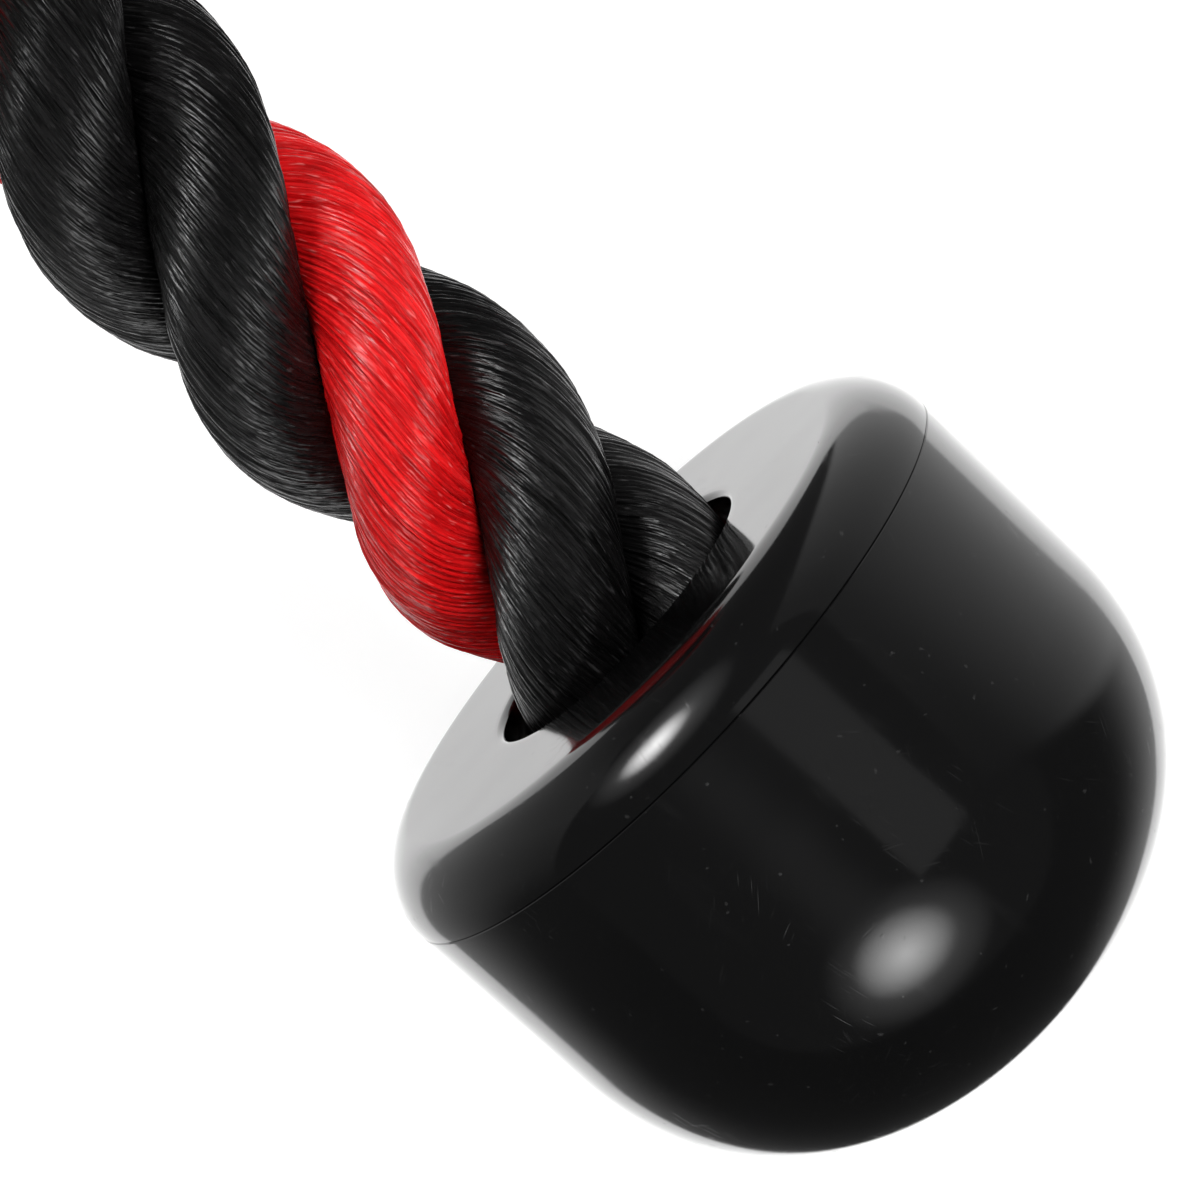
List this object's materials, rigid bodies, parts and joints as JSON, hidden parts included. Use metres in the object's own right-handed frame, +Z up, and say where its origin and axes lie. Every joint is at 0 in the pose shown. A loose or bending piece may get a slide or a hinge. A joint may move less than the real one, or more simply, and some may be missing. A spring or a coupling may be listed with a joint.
{
  "type": "triceps rope attachment",
  "caption": "Thick laid gym rope with a steel collar and swinging eye at its middle and a domed plastic stopper on each end, for cable machines.",
  "frame": {"origin": "on the surface the rope lies on, under the middle of the object's box", "axes": "+Z up from the surface, +Y from the stoppers towards the eye, +X along the collar towards the right stopper"},
  "size_m": [0.5138, 0.3566, 0.0748],
  "materials": {
    "rope_black": "black twisted multifilament yarn, silky sheen",
    "rope_red": "bright red twisted multifilament yarn, silky sheen",
    "stopper_plastic": "moulded black plastic, glossy with fine scratches",
    "chrome": "polished chrome plate",
    "zinc_steel": "zinc plated steel, satin",
    "liner_rubber": "matte black rubber"
  },
  "bodies": {
    "collar": {"centre_collar": "chrome", "collar_liner": "liner_rubber", "right_collar_rivet": "zinc_steel", "left_collar_rivet": "zinc_steel", "eye_pin": "zinc_steel", "upper_pin_washer": "zinc_steel", "lower_pin_washer": "zinc_steel", "rope_middle": "rope_black", "right_rope_bend": "rope_black", "left_rope_bend": "rope_black"},
    "eye": {"swinging_eye": "chrome"},
    "right_leg": {"right_rope_leg": "rope_black", "right_retaining_washer": "zinc_steel", "right_crimp_sleeve": "zinc_steel"},
    "left_leg": {"left_rope_leg": "rope_black", "left_retaining_washer": "zinc_steel", "left_crimp_sleeve": "zinc_steel"},
    "right_stopper": {"right_stopper_lid": "stopper_plastic", "right_stopper_cup": "stopper_plastic"},
    "left_stopper": {"left_stopper_lid": "stopper_plastic", "left_stopper_cup": "stopper_plastic"}
  },
  "joints": [
    {"name": "eye_swing", "type": "hinge", "parent": "collar", "child": "eye", "pos_m": [0, 0.1094, 0.0199], "axis": [0, 0, 1], "range_deg": [-60, 60]},
    {"name": "right_leg_bend", "type": "hinge", "parent": "collar", "child": "right_leg", "pos_m": [0.0891, 0.0799, 0.0199], "axis": [0, 0, 1], "range_deg": [-30, 25], "deforming": ["right_rope_bend"]},
    {"name": "left_leg_bend", "type": "hinge", "parent": "collar", "child": "left_leg", "pos_m": [-0.0891, 0.0799, 0.0199], "axis": [0, 0, -1], "range_deg": [-30, 25], "deforming": ["left_rope_bend"]},
    {"name": "right_stopper_spin", "type": "hinge", "parent": "right_leg", "child": "right_stopper", "pos_m": [0.2003, -0.1219, 0.03738], "axis": [0.7133, -0.7009, 0], "continuous": true},
    {"name": "left_stopper_spin", "type": "hinge", "parent": "left_leg", "child": "left_stopper", "pos_m": [-0.2003, -0.1219, 0.03738], "axis": [-0.7133, -0.7009, 0], "continuous": true}
  ]
}
